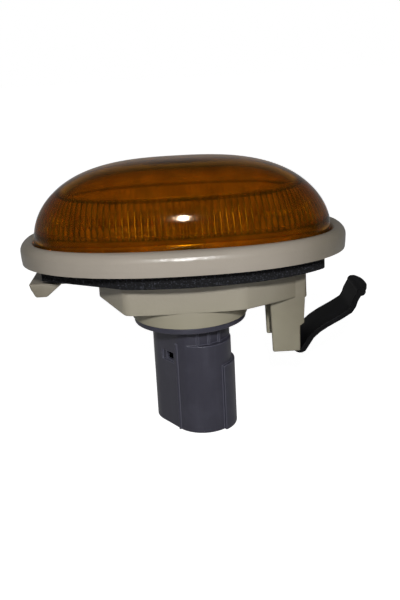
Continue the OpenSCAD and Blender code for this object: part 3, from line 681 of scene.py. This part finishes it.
@dataclass
class FoamGasket:
    """The foam ring under the rim, as a soft section carried round its two outlines.

    Attributes:
        thick: thickness.
        length: length of its oval.
        width: width of its oval.
        hook_x: reach towards the hook.
        clip_x: reach towards the clip.
        end_y: half width of its cut end at the hook.
        taper_x: where its taper starts.
        taper_y: half width where the taper starts.
        soft: radius of its soft edges.
        rough: depth of its surface unevenness.
        gap: clearance round the pocket, the clip leg and the hook's root.
        pocket: corners of the upper half of the pocket's outline, from the hook to the clip.
        leg: reach and half width of the clip leg.
        root: reach and half width of the hook's root.
        columns: sections round the ring.
    """

    thick: float = 3.9
    length: float = 78.0
    width: float = 41.8
    hook_x: float = 35.1
    clip_x: float = 34.0
    end_y: float = 7.8
    taper_x: float = 14.0
    taper_y: float = 19.5
    soft: float = 0.35
    rough: float = 0.07
    gap: float = 0.4
    pocket: tuple[tuple[float, float], ...] = ((-21.8, 3.5), (-14.7, 14.8), (14.0, 14.8), (27.1, 7.5))
    leg: tuple[float, float] = (29.9, 7.5)
    root: tuple[float, float] = (31.2, 4.0)
    columns: int = 720

    def outer_reach(self, turns: np.ndarray) -> np.ndarray:
        """Returns the distance of the outline from the centre at each angle.

        It is the smallest of the ellipse's reach 1 / sqrt((cos / a)^2 + (sin / b)^2), the two cut ends' reach
        and the reach of the two tapering sides, each a straight line n . p = d with the reach d / (n . u).
        """
        cos, sin = np.cos(turns), np.sin(turns)
        reach = 1 / np.sqrt((cos / (self.length / 2)) ** 2 + (sin / (self.width / 2)) ** 2)
        run, drop = self.hook_x - self.taper_x, self.taper_y - self.end_y
        size = math.hypot(run, drop)
        taper = (drop * self.taper_x + run * self.taper_y) / size
        normal = np.array([[1.0, 0.0], [-1.0, 0.0], [-drop / size, -run / size], [-drop / size, run / size]])
        offset = np.array([self.clip_x, self.hook_x, taper, taper])
        return np.minimum(reach, self.least_reach(normal, offset, np.stack([cos, sin])))

    def inner_reach(self, turns: np.ndarray) -> np.ndarray:
        """Returns the distance of the ring's inner outline from the centre at each angle.

        The pocket's body is a convex outline of straight sides, so its reach is the smallest d / (n . u) of
        its sides; the clip leg and the hook's root each add a box, and the largest of the reaches holds.
        """
        upper = np.array(self.pocket)
        corners = np.concatenate([upper * [1, -1], upper[::-1]])
        side = np.roll(corners, -1, axis=0) - corners
        normal = np.stack([side[:, 1], -side[:, 0]], axis=1) / np.linalg.norm(side, axis=1, keepdims=True)
        offset = (normal * corners).sum(axis=1) + self.gap
        box = np.array([[1.0, 0.0], [-1.0, 0.0], [0.0, 1.0], [0.0, -1.0]])
        way = np.stack([np.cos(turns), np.sin(turns)])
        body = self.least_reach(normal, offset, way)
        (leg_x, leg_y), (root_x, root_y) = self.leg, self.root
        leg = self.least_reach(box, np.array([leg_x, 0.0, leg_y, leg_y]) + self.gap, way)
        root = self.least_reach(box, np.array([0.0, root_x, root_y, root_y]) + self.gap, way)
        return np.maximum(body, np.maximum(leg, root))

    @staticmethod
    def least_reach(normal: np.ndarray, offset: np.ndarray, way: np.ndarray) -> np.ndarray:
        """Returns the smallest positive offset / (normal . way) over the sides of a convex outline."""
        along = normal @ way
        reach = np.where(along > 1e-6, offset[:, None] / np.maximum(along, 1e-6), np.inf)
        return reach.min(axis=0)

    def section(self, inner: np.ndarray, outer: np.ndarray) -> tuple[np.ndarray, np.ndarray]:
        """Returns reach and height of the section's points, a rectangle with four soft corners.

        Each corner is a quarter circle of the radius soft; three more points lie on each flat side.
        """
        arc = np.linspace(0, np.pi / 2, 4)
        soft, tall = self.soft, self.thick
        mid = np.array([0.25, 0.5, 0.75])
        out_r = [outer - soft + soft * np.sin(a) for a in arc]
        out_z = [soft - soft * math.cos(a) for a in arc]
        top_r = [outer - soft + soft * np.cos(a) for a in arc]
        top_z = [tall - soft + soft * math.sin(a) for a in arc]
        back_r = [inner + soft - soft * np.sin(a) for a in arc]
        back_z = [tall - soft + soft * math.cos(a) for a in arc]
        low_r = [inner + soft - soft * np.cos(a) for a in arc]
        low_z = [soft - soft * math.sin(a) for a in arc]
        side = [outer] * 3
        side_z = (soft + (tall - 2 * soft) * mid).tolist()
        across_top = [outer - soft + (inner - outer + 2 * soft) * m for m in mid]
        back = [inner] * 3
        across_low = [inner + soft + (outer - inner - 2 * soft) * m for m in mid]
        reach = out_r + side + top_r + across_top + back_r + back + low_r + across_low
        level = out_z + side_z + top_z + [tall] * 3 + back_z + side_z[::-1] + low_z + [0.0] * 3
        return np.array(reach), np.array(level)

    def build(self, finish: FoamRubber) -> bpy.types.Object:
        """Builds the ring of foam.

        Args:
            finish: the foam.

        Returns:
            The ring, which stands for the CAD node gasket.
        """
        columns = self.columns
        turns = np.arange(columns) * 2 * np.pi / columns
        inner, outer = self.inner_reach(turns), self.outer_reach(turns)
        grain = np.random.default_rng(7).random(columns)
        reach, level = self.section(inner + self.rough * grain, outer - self.rough * np.roll(grain, 5))
        rows = len(level)
        grid = np.empty((rows + 1, columns, 3))
        grid[:rows, :, 0] = reach * np.cos(turns)
        grid[:rows, :, 1] = reach * np.sin(turns)
        grid[:rows, :, 2] = level[:, None]
        quads = sheet_faces(rows + 1, columns)
        quads = np.where(quads >= rows * columns, quads - rows * columns, quads)[:, ::-1]
        points = grid[:rows].reshape(-1, 3)
        piece = new_piece("foam_ring", points, quads.tolist(), finish.make())
        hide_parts("gasket")
        return piece


class Moulding:
    """A rigid CAD node that keeps its shape: a merged copy with its edges rounded or crisp stands for it.

    Attributes:
        same_point: distance in metres under which points are merged.
        near_point: the same for a node on which only some edges get a round.
        same_plane: angle in degrees under which faces are joined before the rounds are made.
        flat_weight: how strongly large flat faces set the shading of their rounds.
    """

    same_point: float = 1e-6
    near_point: float = 2e-5
    same_plane: float = 0.6
    flat_weight: int = 75

    def __init__(
        self, node: str, slot: str, sharp: float = 32.0, round_mm: float = 0.0, steps: int = 2,
        clear: tuple[float, float] = (0.0, 100.0),
    ) -> None:
        """Names the node.

        Args:
            node: the CAD node.
            slot: the record's material slot; not used.
            sharp: angle in degrees from which an edge stays crisp.
            round_mm: width of the small rounds on its edges.
            steps: facets across a round.
            clear: distance in millimetres from the lamp's middle line within which edges get no round, and the
                height above which they get none. Where the distance isn't 0, only convex edges get one.
        """
        self.node = node
        self.slot = slot
        self.sharp = sharp
        self.round_mm = round_mm
        self.steps = steps
        self.clear = clear

    def rounded(self, line: bmesh.types.BMEdge) -> bool:
        """Returns whether an edge of the merged mesh gets a round."""
        if len(line.link_faces) != 2 or line.calc_face_angle() < math.radians(self.sharp):
            return False
        near, high = self.clear
        if near and not line.is_convex:
            return False
        return all(math.hypot(end.co.x, end.co.y) > near * MM and end.co.z < high * MM for end in line.verts)

    def build(
        self, material: bpy.types.Material, edge: Optional[bpy.types.Material] = None
    ) -> bpy.types.Object:
        """Copies the node's mesh, merges its loose triangles and smooths what isn't an edge.

        Args:
            material: its finish.
            edge: the finish of its rounds, painted lighter as a highlight along the edges.

        Returns:
            The new piece.
        """
        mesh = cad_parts[self.node].data.copy()
        mesh.name = f"{self.node}_moulding"
        work = bmesh.new()
        work.from_mesh(mesh)
        distance = self.near_point if self.clear[0] else self.same_point
        bmesh.ops.remove_doubles(work, verts=work.verts, dist=distance)
        if self.round_mm:
            flat = math.radians(self.same_plane)
            bmesh.ops.dissolve_limit(work, angle_limit=flat, verts=work.verts, edges=work.edges)
            weight = work.edges.layers.float.new("bevel_weight_edge")
            for line in work.edges:
                line[weight] = float(self.rounded(line))
        work.to_mesh(mesh)
        work.free()
        mesh.polygons.foreach_set("use_smooth", np.ones(len(mesh.polygons), dtype=bool))
        mesh.set_sharp_from_angle(angle=math.radians(self.sharp))
        mesh.materials.clear()
        mesh.materials.append(material)
        if edge:
            mesh.materials.append(edge)
        mesh.update()
        piece = bpy.data.objects.new(mesh.name, mesh)
        bpy.context.scene.collection.objects.link(piece)
        if self.round_mm:
            edges = piece.modifiers.new("edge_rounds", "BEVEL")
            edges.width = self.round_mm * MM
            edges.segments = self.steps
            edges.material = 1 if edge else 0
            edges.limit_method = "WEIGHT"
            edges.use_clamp_overlap = False
        sides = piece.modifiers.new("flat_sides", "WEIGHTED_NORMAL")
        sides.mode = "FACE_AREA_WITH_ANGLE"
        sides.weight = self.flat_weight
        sides.keep_sharp = True
        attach(piece, BODY)
        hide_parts(self.node)
        return piece


@dataclass
class Studio:
    """Pale floor, soft lights and the camera at the photograph's viewing angle.

    Attributes:
        target_z: height of the point that the camera is fitted to.
        distance: distance of the camera from that point.
        tilt: angle of the view below the horizontal.
        roll: turn of the camera about its view axis.
        focal: focal length in millimetres on a sensor 36 mm wide.
        shift: shift of the picture in widths.
        mirror_share: share of the white background that mirrors show.
        pale: brightness of the floor near the object, where the far end is 1.
        spark_way: how far up and how far to the front the light that sparkles in clear pieces stands.
        spark: its colour.
        spark_gain: its strength.
    """

    target_z: float = 0.0039
    distance: float = 0.2
    tilt: float = math.radians(14.0)
    roll: float = -0.056
    focal: float = 70.92
    shift: tuple[float, float] = (0.0413, -0.1238)
    mirror_share: float = 0.2
    pale: float = 0.93
    spark_way: tuple[float, float] = (0.43, 0.9)
    spark: Colour = (1.0, 0.62, 0.45)
    spark_gain: float = 13.0

    def camera(self) -> bpy.types.Object:
        """Returns the scene's camera."""
        data = bpy.data.cameras.new("view")
        data.sensor_fit = "HORIZONTAL"
        data.sensor_width = 36.0
        data.lens = self.focal
        data.shift_x, data.shift_y = self.shift
        data.clip_start = 0.01
        seen = bpy.data.objects.new("view", data)
        bpy.context.scene.collection.objects.link(seen)
        seen.rotation_euler = (math.pi / 2 - self.tilt, 0.0, 0.0)
        seen.rotation_euler.rotate_axis("Z", self.roll)
        front, above = self.distance * math.cos(self.tilt), self.distance * math.sin(self.tilt)
        seen.location = (0.0, -front, self.target_z + above)
        bpy.context.scene.camera = seen
        return seen

    def lamp(self, name: str, place: Colour, size: tuple[float, float], watts: float, mirrored: bool) -> None:
        """Adds a round soft light that points at the lamp.

        Args:
            name: its name.
            place: its place in metres.
            size: its width and height in metres.
            watts: its power.
            mirrored: whether glossy and clear surfaces show it.
        """
        data = bpy.data.lights.new(name, "AREA")
        data.shape = "ELLIPSE"
        data.size, data.size_y = size
        data.energy = watts
        light = bpy.data.objects.new(name, data)
        light.location = place
        light.visible_glossy = mirrored
        light.visible_transmission = mirrored
        way = -np.array(place)
        pitch = math.atan2(way[2], math.hypot(way[0], way[1]))
        turn = math.atan2(way[1], way[0])
        light.rotation_euler = (math.pi / 2 + pitch, 0.0, turn - math.pi / 2)
        bpy.context.scene.collection.objects.link(light)

    def floor(self, level: float) -> None:
        """Adds the pale floor: white to the camera, with the object's shadow, and clear from below.

        Args:
            level: height of the object's lowest point. The floor lies 0.2 mm under it.
        """
        half = 3.0
        mesh = bpy.data.meshes.new("floor")
        corners = [(-half, -half), (half, -half), (half, half), (-half, half)]
        mesh.from_pydata([(x, y, level - 0.0002) for x, y in corners], [], [(0, 1, 2, 3)])
        shader = Shader("pale_floor", Roughness=0.9, Base_Color=(0.6, 0.6, 0.6))
        camera = shader.node("ShaderNodeLightPath", {}, {}, "Is Camera Ray")
        outputs = camera.socket.node.outputs
        glossy = Wire(shader, outputs["Is Glossy Ray"]) * self.mirror_share
        mirrored = shader.most(glossy, Wire(shader, outputs["Is Transmission Ray"]))
        across = shader.node("ShaderNodeSeparateXYZ", {}, {0: shader.place()}, "Y")
        white = shader.most(camera, mirrored * shader.ramp(across, -0.04, 0.02))
        white = white * (self.pale + shader.ramp(across, 0.1, 0.7) * (1.0 - self.pale))
        shader.feed("Emission Color", shader.blend(white, (0.0, 0.0, 0.0), (1.0, 1.0, 1.0)))
        shader.feed("Emission Strength", 1.0)
        shader.let_through(shader.node("ShaderNodeNewGeometry", {}, {}, "Backfacing"))
        mesh.materials.append(shader.material)
        plane = bpy.data.objects.new("floor", mesh)
        bpy.context.scene.collection.objects.link(plane)

    def sky(self, strength: float) -> None:
        """Lights the scene softly from all round and shows white to the camera and in glass.

        Args:
            strength: level of the light that falls on the object.
        """
        world = bpy.data.worlds.new("sky")
        world.use_nodes = True
        bpy.context.scene.world = world
        sky = Tree(world.node_tree)
        path = sky.node("ShaderNodeLightPath", {}, {}, "Is Camera Ray")
        outputs = path.socket.node.outputs
        through = Wire(sky, outputs["Is Transmission Ray"])
        mirrored = Wire(sky, outputs["Is Glossy Ray"]) * self.mirror_share
        way = sky.node("ShaderNodeTexCoord", {}, {}, "Generated")
        up = sky.node("ShaderNodeSeparateXYZ", {}, {0: way}, "Z")
        back = Wire(sky, up.socket.node.outputs["Y"])
        bright = mirrored * (1.0 - sky.ramp(up, 0.1, 0.8)) + through * (1.0 - sky.ramp(up, -0.1, 0.5))
        white = sky.most(path, bright * sky.ramp(back, -0.1, 0.2))
        high, near = self.spark_way
        flash = sky.ramp(up * high - back * near, 0.9, 0.98) * through
        sky.put("Background", "Color", sky.blend(flash, (1.0, 1.0, 1.0), self.spark))
        sky.put("Background", "Strength", strength + white * (1.0 - strength) + flash * self.spark_gain)

    def build(self, low: float) -> None:
        """Builds the studio over a floor at the height low."""
        bpy.context.scene.view_settings.view_transform = "Standard"
        self.camera()
        self.lamp("flash", (0.002, -0.252, 0.12), size=(0.0015, 0.028), watts=0.54, mirrored=True)
        self.lamp("fill", (0.3, -0.15, 0.4), size=(0.4, 0.4), watts=0.07, mirrored=False)
        self.lamp("back", (-0.2, 0.35, 0.3), size=(0.4, 0.4), watts=0.3, mirrored=False)
        self.sky(strength=0.03)
        self.floor(low)


def main() -> None:
    """Builds the lamp's looks in order and reports each piece."""
    logging.basicConfig(level=logging.INFO, format="%(name)s: %(message)s")
    Studio().build(CAD_BOX[0][2])
    pieces = [Lens().build(AmberPlastic()), FoamGasket().build(FoamRubber())]
    grey = MouldedPlastic("grey_plastic", Ink.HOLDER, Ink.HOLDER_WEAR_AND_EDGE_HIGHLIGHT, wear=0.35, roughness=0.38).make()
    # Painted highlight: the holder's edge rounds take a lighter grey.
    edge = MouldedPlastic("grey_edges_painted_highlight", Ink.HOLDER_WEAR_AND_EDGE_HIGHLIGHT, Ink.HOLDER, wear=0.3, roughness=0.35).make()
    black = MouldedPlastic("black_clip", Ink.CLIP, Ink.HOLDER, wear=0.12, roughness=0.55, gloss=0.12).make()
    rubber = MouldedPlastic("seal_rubber", Ink.RUBBER, Ink.FOAM_SPECK, wear=0.2, roughness=0.7).make()
    brass = BareMetal("terminal_brass", Ink.BRASS).make()
    steel = BareMetal("filament_wire", Ink.STEEL, roughness=0.45).make()
    leads = BareMetal("lead_wire", Ink.STEEL, roughness=0.25).make()
    housing = Moulding("housing", "cream_plastic", sharp=15.0, round_mm=0.4, steps=3, clear=(16.5, -0.2))
    pieces += [
        housing.build(CreamPlastic().make()),
        Moulding("bulb_holder", "grey_plastic", round_mm=0.15).build(grey, edge),
        Moulding("spring_clip", "black_clip", round_mm=0.2).build(black),
        Moulding("holder_seal", "seal_rubber").build(rubber),
        Moulding("terminal_left", "terminal_brass").build(brass),
        Moulding("terminal_right", "terminal_brass").build(brass),
        Moulding("bulb_glass", "bulb_clear").build(BulbGlass().make()),
        Moulding("bulb_filament", "filament_wire").build(steel),
    ]
    pieces += [Moulding(name, "lead_wire").build(leads) for name in ("bulb_lead_left", "bulb_lead_right")]
    for piece in pieces:
        log.info("%s: %d faces", piece.name, len(piece.data.polygons))


if __name__ == "__main__":
    main()
